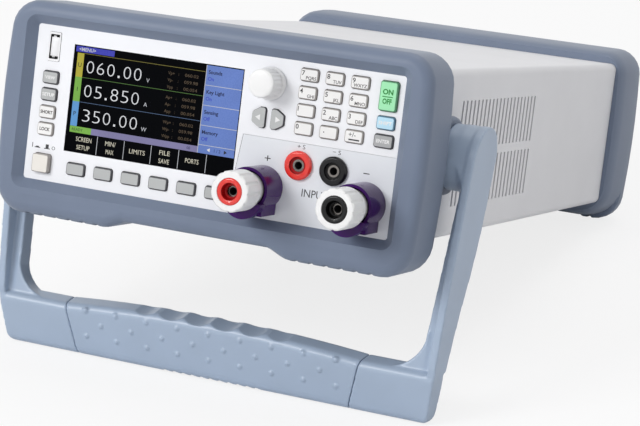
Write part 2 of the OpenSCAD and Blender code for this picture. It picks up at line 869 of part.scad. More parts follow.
module heatsink() {
    wall = 2;
    base = 8;
    legs = 9;
    tall = 2 * inner_h - sheet - legs - 6;
    color("LightSlateGray") stood() translate([sink_left, sink_back - sink_length, floor_z]) {
        translate([0, 0, legs]) cube([sink_wide, sink_length, base]);
        for (i = [0:fin_count - 1])
            translate([i * (sink_wide - wall) / (fin_count - 1), 0, legs]) cube([wall, sink_length, tall]);
        for (x = [0, sink_wide - 10])
            for (y = [0, sink_length - 10])
                translate([x, y, 0]) cube([10, 10, legs + 1]);
    }
}

hub_r = 17;
axle_r = 2;
swept = fan_size / 2 - 2.5;

module fan_frame() {
    strut = 2.2;
    color("Black") stood() translate([fan_x, rear_y, 0]) {
        difference() {
            along_y(0, fan_depth) rounded(fan_size, fan_size, 4);
            rod(swept + 1, -1, fan_depth + 1);
            for (sx = [-1, 1])
                for (sz = [-1, 1])
                    translate([sx * (fan_size / 2 - 5), 0, sz * (fan_size / 2 - 5)])
                        rod(2.2, -1, fan_depth + 1);
        }
        difference() {
            union() {
                rod(hub_r - 1, 0.2, 3.2);
                for (a = [0:90:270])
                    rotate([0, a + 45, 0]) translate([hub_r - 3, 0.6, -2])
                        cube([swept - hub_r + 5.5, strut, 4]);
                rod(6, 0.4, 9);
            }
            rod(axle_r + run, -1, 10);
        }
    }
}

module fan_rotor() {
    color("DimGray") stood() translate([fan_x, rear_y, 0]) {
        difference() {
            rod(hub_r, 3.6, fan_depth - 1.5);
            rod(7, 3, fan_depth - 5);
        }
        rod(axle_r, 1, fan_depth - 4);
        intersection() {
            difference() {
                rod(swept, 4.5, fan_depth - 2);
                rod(hub_r - 1, 4, fan_depth - 1);
            }
            for (i = [0:blade_count - 1])
                rotate([0, i * 360 / blade_count, 0])
                    translate([(hub_r + swept) / 2, fan_depth / 2 + 1, 0])
                    rotate([42, 0, 0])
                    cube([swept - hub_r + 8, 1.8, 26], center = true);
        }
    }
}

fan_corners = [for (sx = [-1, 1]) for (sz = [-1, 1])
    [fan_x + sx * (fan_size / 2 - 5), sz * (fan_size / 2 - 5)]];
module screws() {
    color("Gray") stood()
        for (p = fan_corners)
            translate([p[0], 0, p[1]]) {
                rod(2, case_back - fan_depth + 4, case_back + rear_plate + eps);
                rod(3.4, case_back + rear_plate, case_back + rear_plate + 1.8);
            }
}

// Handle

hub_in = half_w + boss_thick + play;
arm_out = hub_in + hub_length;
pin_out = arm_out - 6.5;
grip_gap = 0.25;

module bar_section() {
    translate([0, -reach]) rotate(bar_cant) hull() {
        translate([0, bar_low]) circle(bar_edge, $fn = 32);
        translate([bar_front, bar_end]) circle(bar_corner, $fn = 32);
        translate([bar_back, bar_end]) circle(bar_corner, $fn = 32);
    }
}

// The same section as a ring of points, with the inner edge at the height it has at x
function lean(x) = -atan2(bar_front, bar_high(x) - bar_low)
    - asin((bar_edge - bar_corner) / norm([bar_front, bar_high(x) - bar_low]));
function turn(cy, cz, r, a0, a1, n) =
    [for (i = [0:n]) [cy + r * cos(a0 + (a1 - a0) * i / n), cz + r * sin(a0 + (a1 - a0) * i / n)]];
function bar_ring(x) = concat(
    turn(0, bar_low, bar_edge, 180 + lean(x), 360 - lean(x), 8),
    turn(bar_back, bar_high(x), bar_corner, -lean(x), 90, 5),
    turn(bar_front, bar_high(x), bar_corner, 90, 180 + lean(x), 5));

module bar_loft() {
    span = grip_half + 2;
    places = [for (i = [-8:8]) span * i / 8];
    translate([0, 0, -reach]) rotate([bar_cant, 0, 0])
        mirror([1, -1, 0]) loft([for (x = places) bar_ring(x)], places);
}

// Arm seen from the side, as [share of the hub radius, depth]: straight in front, drawn in behind
front_edge = [[-0.995, 2], [-0.95, 30], [-0.87, 61], [-0.77, 90], [-0.69, 105], [-0.52, 111], [-0.2, 117]];
back_edge = [[0.2, 117], [0.35, 105], [0.43, 92], [0.6, 74], [0.84, 56], [0.975, 38], [1, 20], [0.995, 2]];
bar_depth = 117;
function edge_points(list, r) =
    [for (p = list) [p[0] * r, -p[1] * reach / bar_depth]];

module flange_outline(r) {
    circle(r);
    polygon(concat(edge_points(front_edge, r), edge_points(back_edge, r)));
}

end_lean = 9;
web_lean = 2.2;
web_splay = 1.1;
module web_outline() {
    polygon([[-web_width / 2, 0], [-web_width / 2 - web_lean, -reach],
             [web_width / 2 - web_lean, -reach], [web_width / 2, 0]]);
}

module hub_flare() {
    r = 9;
    core = hub_radius - 0.8;
    rotate([0, 90, 0]) rotate_extrude() polygon(concat(
        [[0, 0], [core, 0]],
        [for (a = [0:15:90]) [core + r * (1 - cos(a)), r * sin(a)]],
        [[0, r]]));
}

// One arm, drawn on the right
module arm() {
    x_bar = arm_out - reach * tan(arm_splay);
    x_web = arm_out - flange_thick - web_thick - (reach - 14) * tan(arm_splay + web_splay);
    fillet = 20;
    difference() {
        union() {
            translate([hub_in, 0, 0]) rotate([0, 90, 0])
                cylinder(r = hub_radius - 0.4, h = arm_out - hub_in - 1.2);
            translate([arm_out, 0, 0]) rotate([0, arm_splay, 0]) {
                along_x(-flange_thick, 0) flange_outline(hub_radius);
                intersection() {
                    translate([-flange_thick - 8.4, 0, 0]) hub_flare();
                    along_x(-20, -1.5) flange_outline(hub_radius - 0.5);
                }
                rotate([0, web_splay, 0])
                    along_x(-flange_thick - web_thick, -flange_thick + 3) web_outline();
            }
            difference() {
                along_x(grip_half - grip_slant - 2, x_bar - 0.3) bar_section();
                grip_block(grip_gap);
            }
            tenon(grip_half - 28);
            // Curved gusset between web and bar
            translate([x_web + 1.4, -web_lean, -reach + bar_end + bar_corner - 2])
                rotate([90, 0, 0]) linear_extrude(web_width, center = true) difference() {
                    translate([-fillet, -1]) square([fillet + 1.2, fillet + 1]);
                    translate([-fillet, fillet]) circle(fillet);
                }
        }
        translate([hub_in - 1, 0, 0]) rotate([0, 90, 0])
            cylinder(r = pin_radius + run, h = pin_out - hub_in + 1 + play);
        // Lean the bar's end in and round its lower corner
        translate([x_bar - 1.2, 0, -reach]) rotate([0, end_lean, 0])
            corner_cut(5.5);
        // Round the bar's end away at the back
        translate([x_bar, 0, -reach]) rotate([bar_cant, 0, 0])
            end_cut(1.5);
    }
}

module end_cut(r) {
    back = bar_thick / 2;
    translate([-r, back - r, -bar_height]) linear_extrude(bar_height + bar_end) difference() {
        square(r + 6);
        circle(r);
    }
}

module corner_cut(r) {
    low = -bar_height / 2 - 1;
    translate([-r, 30, low]) rotate([90, 0, 0]) linear_extrude(60) difference() {
        translate([0, -2]) square([r + 6, bar_height]);
        translate([0, r]) circle(r);
        translate([0, r]) square([r, bar_height]);
    }
}

tenon_wide = 7.6;
tenon_high = 14;
module tenon(x0) {
    translate([0, 0, -reach]) rotate([bar_cant, 0, 0])
        translate([x0, -tenon_wide / 2, -tenon_high / 2]) cube([32, tenon_wide, tenon_high]);
}

// Block that parts the grip from the arms along slanted seams
module grip_block(grow) {
    top = grip_half + grow;
    low = grip_half - grip_slant + grow;
    translate([0, 40, -reach]) rotate([90, 0, 0]) linear_extrude(80)
        polygon([[-top, bar_height / 2], [-low, -bar_height / 2], [-low, -bar_height],
                 [low, -bar_height], [low, -bar_height / 2], [top, bar_height / 2],
                 [top, bar_height], [-top, bar_height]]);
}

module left_arm() {
    color("LightSteelBlue") swung() mirror([1, 0, 0]) arm();
}

module right_arm() {
    color("LightSteelBlue") swung() arm();
}

// Front face of the grip at its height z, at x along it
function face_y(x, z) = -(bar_edge + (z - bar_low) * sin(lean(x))) / cos(lean(x));
bump_row = 7.4;
bump_mid = 4;

module handle_grip() {
    rib = 5.3;
    scallop = 16;
    deep = 1.9;
    color("LightSteelBlue") swung() {
        difference() {
            intersection() {
                bar_loft();
                grip_block(0);
            }
            translate([0, 0, -reach]) rotate([bar_cant, 0, 0]) {
                translate([-grip_half - 3, -tenon_wide / 2 - fit, -tenon_high / 2 - fit])
                    cube([2 * grip_half + 6, tenon_wide + 2 * fit, tenon_high + 2 * fit]);
                for (i = [0:scallop_count - 1])
                    translate([(i - (scallop_count - 1) / 2) * scallop_pitch, 0,
                               bar_height / 2 + scallop - deep])
                        rotate([90, 0, 0]) cylinder(r = scallop, h = 40, center = true);
                for (i = [-5:5])
                    translate([i * rib, 0, -bar_height / 2 + 0.2])
                        rotate([90, 0, 0]) cylinder(r = 1.7, h = 40, center = true);
            }
        }
        translate([0, 0, -reach]) rotate([bar_cant, 0, 0])
            for (row = [-1:1])
                for (i = [0:bump_count - 2 + abs(row)])
                    bump((i - (bump_count - 2 + abs(row)) / 2) * bump_pitch, bump_mid + row * bump_row);
    }
}

module bump(x, z) {
    translate([x, face_y(x, z) + 0.7, z]) sphere(bump_radius, $fn = 24);
}

// Moving pieces on the panel

module encoder_knob() {
    base = 0.5;
    tip = knob_radius - 1;
    color("White") pressed([knob_x, knob_z]) {
        difference() {
            spun(-base) polygon([[0, 3.4], [5.2, 3.4], [5.2, 0], [knob_radius, 0], [knob_radius, 1.6],
                                 [tip + 0.3, 2.6], [tip, knob_length - 1.6], [tip - 0.5, knob_length - 0.5],
                                 [tip - 1.8, knob_length], [0, knob_length + 0.3]]);
            for (i = [0:19])
                rotate([0, i * 18, 0]) translate([tip + 0.75, 0, 0]) rod(0.95, -knob_length - 2, -base - 2.7);
        }
        rod(shaft_radius, -knob_length + 2, board_y - 1);
    }
}

module washer(x) {
    stood() translate([x, 0, post_z]) difference() {
        rod(collar_radius + 1.8, washer_y, washer_y + washer_thick);
        rod(stud_radius + run, washer_y - 1, washer_y + washer_thick + 1);
    }
}

module plus_washer() {
    color("Silver") washer(plus_x);
}

module minus_washer() {
    color("Silver") washer(minus_x);
}

cap_radius = 6.7;
cap_deep = 4.2;

module post_knob(x) {
    back = -washer_y + fit;
    neck = shroud_depth + 5;
    r = grip_radius;
    stood() translate([x, 0, post_z]) difference() {
        spun(0) polygon([[stud_radius + run, back], [neck_radius, back], [neck_radius, neck],
                         [r, neck + 0.6], [r, post_reach - grip_bevel], [r - grip_bevel, post_reach],
                         [cap_radius + fit / 2, post_reach], [cap_radius + fit / 2, post_reach - cap_deep],
                         [stud_radius + run, post_reach - cap_deep]]);
        for (i = [0:11])
            rotate([0, i * 30, 0]) translate([r + 0.55, 0, 0]) rod(1.1, -post_reach - 1, -neck - 2);
    }
}

module post_cap(x) {
    h = cap_deep;
    stood() translate([x, 0, post_z]) spun(-post_reach + h)
        polygon([[socket_radius + 0.7, 0], [cap_radius, 0], [cap_radius, h - 0.2],
                 [cap_radius - 0.7, h + 0.4], [cap_radius - 2.4, h + 0.2],
                 [socket_radius + 1.6, 1.6], [socket_radius + 0.7, 1.2]]);
}

module plus_knob() {
    color("White") post_knob(plus_x);
}

module minus_knob() {
    color("White") post_knob(minus_x);
}

module plus_cap() {
    color("Red") post_cap(plus_x);
}

module minus_cap() {
    color("Black") post_cap(minus_x);
}

module soft_key(i) {
    color("Gray") pressed(soft_at(i)) key_cap(soft_width, soft_height, key_proud);
}

module pad_key(c, r) {
    color("White") pressed(pad_at(c, r)) key_cap(pad_width, pad_height, key_proud);
}

module small_key(place, tint) {
    color(tint) pressed(place) key_cap(small_width, small_height, key_proud);
}

module side_key(place, width, tint) {
    color(tint) pressed(place) key_cap(width, side_height, key_proud);
}

module soft_key_1() {
    soft_key(0);
}

module soft_key_2() {
    soft_key(1);
}

module soft_key_3() {
    soft_key(2);
}

module soft_key_4() {
    soft_key(3);
}

module soft_key_5() {
    soft_key(4);
}

module soft_key_6() {
    soft_key(5);
}

module key_7() {
    pad_key(-1, 0);
}

module key_8() {
    pad_key(0, 0);
}

module key_9() {
    pad_key(1, 0);
}

module key_4() {
    pad_key(-1, 1);
}

module key_5() {
    pad_key(0, 1);
}

module key_6() {
    pad_key(1, 1);
}

module key_1() {
    pad_key(-1, 2);
}

module key_2() {
    pad_key(0, 2);
}

module key_3() {
    pad_key(1, 2);
}

module key_0() {
    pad_key(-1, 3);
}

module key_point() {
    pad_key(0, 3);
}

module key_sign() {
    pad_key(1, 3);
}

module display_key() {
    small_key(display_at, "Gray");
}

module setup_key() {
    small_key(setup_at, "Gray");
}

module short_key() {
    small_key(short_at, "White");
}

module lock_key() {
    small_key(lock_at, "White");
}

module power_button() {
    color("Ivory") pressed(power_at) key_cap(power_size, power_size, power_proud);
}

module left_key() {
    color("Gray") pressed([arrow_at[0], arrow_z]) arrow_cap();
}

module right_key() {
    color("Gray") pressed([arrow_at[1], arrow_z]) mirror([1, 0, 0]) arrow_cap();
}

module on_off_key() {
    color("LightGreen") pressed(on_off_at) key_cap(on_width, on_height, key_proud + 0.6);
}

module shift_key() {
    side_key(shift_at, shift_width, "LightSkyBlue");
}

module enter_key() {
    side_key(enter_at, enter_width, "Gray");
}

front_bumper();
front_panel();
terminal_plate();
display_window();
lcd_module();
usb_socket();
front_board();
plus_sense_jack();
minus_sense_jack();
terminal_contacts();
terminal_shrouds();
top_cover();
base_chassis();
rear_panel();
inlet();
rear_bumper();
handle_pivots();
main_board();
heatsink();
fan_frame();
fan_rotor();
screws();
left_arm();
right_arm();
handle_grip();
encoder_knob();
plus_washer();
minus_washer();
plus_knob();
minus_knob();
plus_cap();
minus_cap();
soft_key_1();
soft_key_2();
soft_key_3();
soft_key_4();
soft_key_5();
soft_key_6();
key_0();
key_1();
key_2();
key_3();
key_4();
key_5();
key_6();
key_7();
key_8();
key_9();
key_point();
key_sign();
display_key();
setup_key();
short_key();
lock_key();
power_button();
left_key();
right_key();
on_off_key();
shift_key();
enter_key();
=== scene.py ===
import json
import math

import bmesh
import bpy
from mathutils import Euler, Matrix, Vector


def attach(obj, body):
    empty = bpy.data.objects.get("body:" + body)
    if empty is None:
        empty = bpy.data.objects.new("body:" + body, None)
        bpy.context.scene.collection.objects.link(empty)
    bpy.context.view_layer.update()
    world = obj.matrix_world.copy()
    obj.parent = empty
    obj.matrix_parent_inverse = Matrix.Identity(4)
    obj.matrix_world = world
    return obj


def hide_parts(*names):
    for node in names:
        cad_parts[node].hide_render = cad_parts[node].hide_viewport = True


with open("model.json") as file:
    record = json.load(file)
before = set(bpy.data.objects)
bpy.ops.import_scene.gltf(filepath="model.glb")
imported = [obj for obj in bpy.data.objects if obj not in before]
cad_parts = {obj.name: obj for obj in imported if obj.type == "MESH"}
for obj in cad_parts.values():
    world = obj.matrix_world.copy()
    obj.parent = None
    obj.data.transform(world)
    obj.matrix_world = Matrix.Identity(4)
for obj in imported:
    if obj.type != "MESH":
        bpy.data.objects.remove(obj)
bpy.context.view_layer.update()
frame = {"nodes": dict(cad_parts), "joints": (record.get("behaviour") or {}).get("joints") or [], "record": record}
print("frame loaded with", len(frame["nodes"]), "nodes")

scene = bpy.context.scene
scene.view_settings.view_transform = "Standard"

# the case's own frame, in mm: X along the front, Y into the case, Z up the panel
caseFrame = {"pivot": (0, 47.5, 0.8), "mm": 0.001}
joints = {joint["name"]: joint for joint in frame["joints"]}
pressWay = Vector(joints["enter_key_press"]["axis"])  # a key travels square to the panel
toWorld = (Matrix.Translation(joints["handle_swing"]["pos_m"])
           @ Matrix.Rotation(math.atan2(pressWay.z, pressWay.y), 4, "X")
           @ Matrix.Scale(caseFrame["mm"], 4)
           @ Matrix.Translation(-Vector(caseFrame["pivot"])))
toCase = toWorld.inverted()

slotOf = {part["node"]: part["material_slot"] for part in frame["record"]["subparts"]}
bodyOf = {node: body for body, nodes in frame["record"]["behaviour"]["bodies"].items() for node in nodes}


def boxOf(points):
    low = Vector([min(point[i] for point in points) for i in range(3)])
    high = Vector([max(point[i] for point in points) for i in range(3)])
    return low, high


def casePoints(node):
    return [toCase @ vert.co for vert in frame["nodes"][node].data.vertices]


def caseBox(node):
    return boxOf(casePoints(node))


def tone(red, green, blue):
    # a colour as it looks on screen, made linear for the shader
    return [((part / 255 + 0.055) / 1.055) ** 2.4 if part > 10 else part / 3295 for part in (red, green, blue)] + [1]


# finishes
skinSteps = {"cloudDetail": 4, "grainDetail": 2, "spread": (0.3, 0.7), "cloud": 30, "grain": 1200, "fade": 0.95,
             "bump": 0.1, "bumpDepth": 0.0001, "coatRough": 0.08, "specular": 0.5}


def startGroup(name, inputs, outputs):
    group = bpy.data.node_groups.new(name, "ShaderNodeTree")
    for way, sockets in (("INPUT", inputs), ("OUTPUT", outputs)):
        for label, kind in sockets:
            group.interface.new_socket(name=label, in_out=way, socket_type="NodeSocket" + kind)
    return group, group.nodes.new("NodeGroupInput"), group.nodes.new("NodeGroupOutput")


def addNoise(group, coords, scale, detail):
    noise = group.nodes.new("ShaderNodeTexNoise")
    noise.inputs["Detail"].default_value = detail
    group.links.new(coords, noise.inputs["Vector"])
    group.links.new(scale, noise.inputs["Scale"])
    return noise.outputs["Fac"]


def mouldedGroup():
    group, given, result = startGroup(
        "mouldedSkin",
        [("Tint", "Color"), ("Shade", "Color"), ("Cloud", "Float"), ("Grain", "Float"), ("Smooth", "Float"),
         ("Rough", "Float")],
        [("Color", "Color"), ("Roughness", "Float"), ("Height", "Float")])
    coords = group.nodes.new("ShaderNodeTexCoord").outputs["Object"]
    cloud = addNoise(group, coords, given.outputs["Cloud"], skinSteps["cloudDetail"])
    grain = addNoise(group, coords, given.outputs["Grain"], skinSteps["grainDetail"])
    spread = group.nodes.new("ShaderNodeMapRange")  # the noise keeps near the middle, so it is spread out
    spread.inputs["From Min"].default_value, spread.inputs["From Max"].default_value = skinSteps["spread"]
    group.links.new(cloud, spread.inputs["Value"])
    blend = group.nodes.new("ShaderNodeMix")
    blend.data_type = "RGBA"
    group.links.new(spread.outputs["Result"], blend.inputs["Factor"])
    group.links.new(given.outputs["Tint"], blend.inputs["A"])
    group.links.new(given.outputs["Shade"], blend.inputs["B"])
    satin = group.nodes.new("ShaderNodeMapRange")
    group.links.new(grain, satin.inputs["Value"])
    group.links.new(given.outputs["Smooth"], satin.inputs["To Min"])
    group.links.new(given.outputs["Rough"], satin.inputs["To Max"])
    group.links.new(blend.outputs["Result"], result.inputs["Color"])
    group.links.new(satin.outputs["Result"], result.inputs["Roughness"])
    group.links.new(grain, result.inputs["Height"])
    return group


mouldedSkin = mouldedGroup()


def mouldedFinish(name, look):
    finish = bpy.data.materials.new(name)
    finish.use_nodes = True
    nodes, links = finish.node_tree.nodes, finish.node_tree.links
    shader = nodes["Principled BSDF"]
    skin = nodes.new("ShaderNodeGroup")
    skin.node_tree = mouldedSkin
    fade = look.get("fade", skinSteps["fade"])  # how dark the soft clouds in the colour get
    skin.inputs["Tint"].default_value = tone(*look["colour"])
    skin.inputs["Shade"].default_value = tone(*[part * fade for part in look["colour"]])
    skin.inputs["Cloud"].default_value = look.get("cloud", skinSteps["cloud"])
    skin.inputs["Grain"].default_value = look.get("grain", skinSteps["grain"])
    skin.inputs["Smooth"].default_value, skin.inputs["Rough"].default_value = look["rough"]
    links.new(skin.outputs["Color"], shader.inputs["Base Color"])
    links.new(skin.outputs["Roughness"], shader.inputs["Roughness"])
    bumpStrength = look.get("bump", skinSteps["bump"])
    if bumpStrength:
        bump = nodes.new("ShaderNodeBump")
        bump.inputs["Strength"].default_value = bumpStrength
        bump.inputs["Distance"].default_value = skinSteps["bumpDepth"]
        links.new(skin.outputs["Height"], bump.inputs["Height"])
        links.new(bump.outputs["Normal"], shader.inputs["Normal"])
    shader.inputs["Metallic"].default_value = look.get("metal", 0)
    shader.inputs["Specular IOR Level"].default_value = look.get("specular", skinSteps["specular"])
    shader.inputs["Transmission Weight"].default_value = look.get("clear", 0)
    shader.inputs["Coat Weight"].default_value = look.get("coat", 0)
    shader.inputs["Coat Roughness"].default_value = skinSteps["coatRough"]
    shader.inputs["Sheen Weight"].default_value = look.get("sheen", 0)
    if look.get("glow"):
        links.new(skin.outputs["Color"], shader.inputs["Emission Color"])
        shader.inputs["Emission Strength"].default_value = look["glow"]
    return finish


finishLooks = {
    "bumper": {"colour": (112, 124, 145), "fade": 0.97, "rough": (0.4, 0.52), "grain": 1500, "bump": 0.12,
               "sheen": 0.14, "specular": 0.35},
    "panel": {"colour": (238, 239, 243), "fade": 0.985, "rough": (0.4, 0.5), "grain": 1800, "bump": 0.06},
    "plate": {"colour": (226, 229, 234), "fade": 0.985, "rough": (0.36, 0.46), "grain": 1800, "bump": 0.06},
    "window": {"colour": (6, 7, 10), "fade": 0.8, "rough": (0.16, 0.2), "bump": 0, "specular": 0.02},
    "module": {"colour": (150, 152, 155), "fade": 0.9, "rough": (0.3, 0.42), "metal": 1},
    "usb": {"colour": (238, 238, 240), "fade": 0.97, "rough": (0.3, 0.4), "bump": 0.05},
    "board": {"colour": (28, 92, 58), "fade": 0.85, "rough": (0.35, 0.5), "cloud": 120},
    "jack_red": {"colour": (235, 50, 40), "fade": 0.92, "rough": (0.14, 0.2), "bump": 0.03, "coat": 0.4},
    "jack_black": {"colour": (20, 21, 23), "fade": 0.85, "rough": (0.18, 0.26), "bump": 0.03, "specular": 0.3},
    # darker copies of the jack colours for the faces inside the jacks' and caps' recesses: painted shade
    "jack_red_recess_shade": {"colour": (168, 14, 18), "fade": 0.9, "rough": (0.3, 0.4), "bump": 0.03, "specular": 0.2},
    "jack_black_recess_shade": {"colour": (9, 9, 10), "fade": 0.85, "rough": (0.3, 0.4), "bump": 0.03, "specular": 0.2},
    "contact": {"colour": (126, 122, 118), "fade": 0.9, "rough": (0.18, 0.3), "metal": 1, "bump": 0.05},
    "shroud": {"colour": (64, 14, 100), "fade": 0.8, "rough": (0.12, 0.2), "bump": 0.03, "clear": 0.1,
               "specular": 0.2},
    "cover": {"colour": (230, 230, 233), "fade": 0.985, "rough": (0.42, 0.55), "grain": 1100, "bump": 0.14},
    "base": {"colour": (168, 170, 173), "fade": 0.93, "rough": (0.3, 0.42), "metal": 1, "bump": 0.05},
    "rear": {"colour": (222, 222, 226), "fade": 0.98, "rough": (0.42, 0.55), "grain": 1100, "bump": 0.14},
    "black": {"colour": (34, 34, 37), "fade": 0.85, "rough": (0.4, 0.55), "bump": 0.1},
    "steel": {"colour": (190, 191, 194), "fade": 0.9, "rough": (0.22, 0.36), "metal": 1, "bump": 0.05},
    "sink": {"colour": (196, 198, 201), "fade": 0.93, "rough": (0.3, 0.45), "metal": 1},
    "handle": {"colour": (166, 182, 203), "fade": 0.97, "rough": (0.27, 0.37), "grain": 1400, "bump": 0.08},
    "knob": {"colour": (240, 240, 240), "fade": 0.97, "rough": (0.3, 0.42), "grain": 1600, "bump": 0.05},
    "washer": {"colour": (214, 214, 216), "fade": 0.9, "rough": (0.1, 0.2), "metal": 1, "bump": 0.03},
    "key_grey": {"colour": (180, 182, 182), "fade": 0.95, "rough": (0.4, 0.5), "grain": 2000, "bump": 0.06},
    "key_white": {"colour": (238, 237, 236), "fade": 0.97, "rough": (0.36, 0.46), "grain": 2000, "bump": 0.05},
    "key_green": {"colour": (158, 230, 178), "fade": 0.96, "rough": (0.34, 0.44), "grain": 2000, "bump": 0.05},
    "key_blue": {"colour": (186, 224, 243), "fade": 0.96, "rough": (0.34, 0.44), "grain": 2000, "bump": 0.05},
    "enter": {"colour": (168, 169, 170), "fade": 0.96, "rough": (0.38, 0.48), "grain": 2000, "bump": 0.06},
    "power": {"colour": (230, 226, 219), "fade": 0.97, "rough": (0.36, 0.46), "grain": 2000, "bump": 0.05},
    # darker copies of the key colours for the keys' side walls: painted shade
    "key_grey_side": {"colour": (84, 84, 88), "fade": 0.9, "rough": (0.5, 0.6), "grain": 2000, "bump": 0.06},
    "key_white_side": {"colour": (172, 167, 163), "fade": 0.9, "rough": (0.5, 0.6), "grain": 2000, "bump": 0.06},
    "key_green_side": {"colour": (98, 160, 116), "fade": 0.9, "rough": (0.4, 0.5), "grain": 2000, "bump": 0.06},
    "key_blue_side": {"colour": (104, 146, 172), "fade": 0.9, "rough": (0.4, 0.5), "grain": 2000, "bump": 0.06},
    # a near black finish for hole walls, bores and the sheet behind the vents: painted shade; on the USB socket it
    # also stands for its black parts
    "black_and_painted_shade": {"colour": (40, 40, 43), "fade": 0.85, "rough": (0.6, 0.75), "bump": 0.05},
}
finishes = {name: mouldedFinish(name, look) for name, look in finishLooks.items()}
print("finishes made:", len(finishes))

# making pieces
solidSteps = {"weld": 0.003, "flat": 0.6, "sharp": 30, "corner": 35}  # mm, then degrees
faceTests = {"side": 0.75, "bore": 0.3, "boreRadius": 2.15, "recessRadius": 4.4, "behind": 2}  # normals, then mm
rearLow, rearHigh = caseBox("rear_panel")
socketAxes = []
for node in ("plus_knob", "minus_knob", "plus_sense_jack", "minus_sense_jack"):
    low, high = caseBox(node)
    socketAxes.append(((low.x + high.x) / 2, (low.z + high.z) / 2))


def makePiece(name, shape, looks, body, nodes=(), corner=solidSteps["corner"]):
    mesh = bpy.data.meshes.new(name)
    shape.transform(toWorld)
    shape.to_mesh(mesh)
    shape.free()
    mesh.shade_smooth()
    mesh.set_sharp_from_angle(angle=math.radians(corner))
    for finish in looks:
        mesh.materials.append(finish)
    piece = bpy.data.objects.new(name, mesh)
    scene.collection.objects.link(piece)
    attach(piece, body)
    if nodes:
        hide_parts(*nodes)
    return piece


def nodeCopy(node):
    shape = bmesh.new()
    shape.from_mesh(frame["nodes"][node].data)
    shape.transform(toCase)
    bmesh.ops.remove_doubles(shape, verts=shape.verts, dist=solidSteps["weld"])
    bmesh.ops.dissolve_limit(shape, angle_limit=math.radians(solidSteps["flat"]), verts=shape.verts,
                             edges=shape.edges)
    return shape


def roundLines(shape, lines, edge, segments):
    bmesh.ops.bevel(shape, geom=lines, offset=edge, offset_type="OFFSET", segments=segments, profile=0.5,
                    affect="EDGES", clamp_overlap=True, material=-1)


def softenEdges(shape, edge, segments=2):
    limit = math.radians(solidSteps["sharp"])
    roundLines(shape, [line for line in shape.edges if line.is_manifold and line.calc_face_angle(0) > limit], edge,
               segments)


def sideways(face):
    return abs(face.normal.y) < faceTests["side"]


def offAxis(point):
    return min(math.hypot(point.x - x, point.z - z) for x, z in socketAxes)


def inSocket(face):
    return abs(face.normal.y) < faceTests["bore"] and offAxis(face.calc_center_median()) < faceTests["boreRadius"]


def inRecess(face):
    return all(offAxis(vert.co) < faceTests["recessRadius"] for vert in face.verts)


def behindPanel(face):
    return face.calc_center_median().y > rearLow.y - faceTests["behind"]


ownFinish = {"enter_key": "enter", "power_button": "power"}


def dressNode(node, edge=0, segments=2, second=None, choose=sideways):
    # the chosen faces take the second finish
    shape = nodeCopy(node)
    if edge:
        softenEdges(shape, edge, segments)
    slotName = slotOf[node]
    looks = [finishes[ownFinish.get(node, slotName)]]
    if second:
        shape.normal_update()
        for face in shape.faces:
            face.material_index = int(choose(face))
        looks.append(finishes[second])
    piece = makePiece(node + "_skin", shape, looks, bodyOf[node], [node])
    even = piece.modifiers.new("even", "WEIGHTED_NORMAL")  # flat faces stay flat beside their rounded edges
    even.keep_sharp = True


mouldRelax = {"factor": 0.5, "corner": 180}


def dressMould(node, voxel, rounds):
    # a moulded part without one sharp edge: its solid is meshed evenly and relaxed
    slotName = slotOf[node]
    piece = makePiece(node + "_skin", nodeCopy(node), [finishes[slotName]], bodyOf[node], [node],
                      mouldRelax["corner"])
    even = piece.modifiers.new("even", "REMESH")
    even.mode, even.voxel_size, even.use_smooth_shade = "VOXEL", voxel * caseFrame["mm"], True
    relax = piece.modifiers.new("relax", "SMOOTH")
    relax.factor, relax.iterations = mouldRelax["factor"], rounds


mouldSteps = {"left_arm": (0.6, 7), "right_arm": (0.6, 7), "handle_grip": (0.51, 2)}  # mm between points, rounds
for node, (voxel, rounds) in mouldSteps.items():
    dressMould(node, voxel, rounds)

edgeRounds = {  # mm, the edge radius of each piece that is dressed with its own solid
    "front_bumper": 0, "terminal_plate": 0.2, "top_cover": 0, "base_chassis": 0, "rear_panel": 0, "rear_bumper": 0,
    "inlet": 0.2, "terminal_shrouds": 0.3, "handle_pivots": 0.2, "encoder_knob": 0, "plus_washer": 0.2,
    "minus_washer": 0.2, "plus_knob": 0, "minus_knob": 0, "lcd_module": 0.3, "front_board": 0, "heatsink": 0,
    "fan_frame": 0.2, "fan_rotor": 0, "screws": 0,
}
for node, edge in edgeRounds.items():
    dressNode(node, edge)

twoLooks = {  # edge radius in mm, second finish, which faces take it
    # the panel's hole walls and the contact bores are darkened as painted shade; the USB socket's dark walls are
    # partly its black parts, partly painted shade
    "front_panel": (0, "black_and_painted_shade", sideways), "usb_socket": (0.2, "black_and_painted_shade", sideways),
    # the recesses of the jacks and caps take their darker copies as painted shade
    "main_board": (0, "steel", behindPanel), "plus_sense_jack": (0.3, "jack_red_recess_shade", inRecess),
    "minus_sense_jack": (0.3, "jack_black_recess_shade", inRecess), "plus_cap": (0.3, "jack_red_recess_shade", inRecess),
    "minus_cap": (0.3, "jack_black_recess_shade", inRecess), "terminal_contacts": (0, "black_and_painted_shade", inSocket),
}
for node, (edge, second, choose) in twoLooks.items():
    dressNode(node, edge, second=second, choose=choose)

keyRounds = {"edge": 0.4, "segments": 3}
keyNodes = [node for node in frame["nodes"] if node.endswith("_key") or node.startswith(("key_", "soft_key"))]
keyNodes.append("power_button")
for node in keyNodes:
    # the side walls of each key take a darker copy of its colour as painted shade
    dressNode(node, keyRounds["edge"], keyRounds["segments"], second=slotOf[node] + "_side")
print("solids dressed:", len(mouldSteps) + len(edgeRounds) + len(twoLooks) + len(keyNodes))


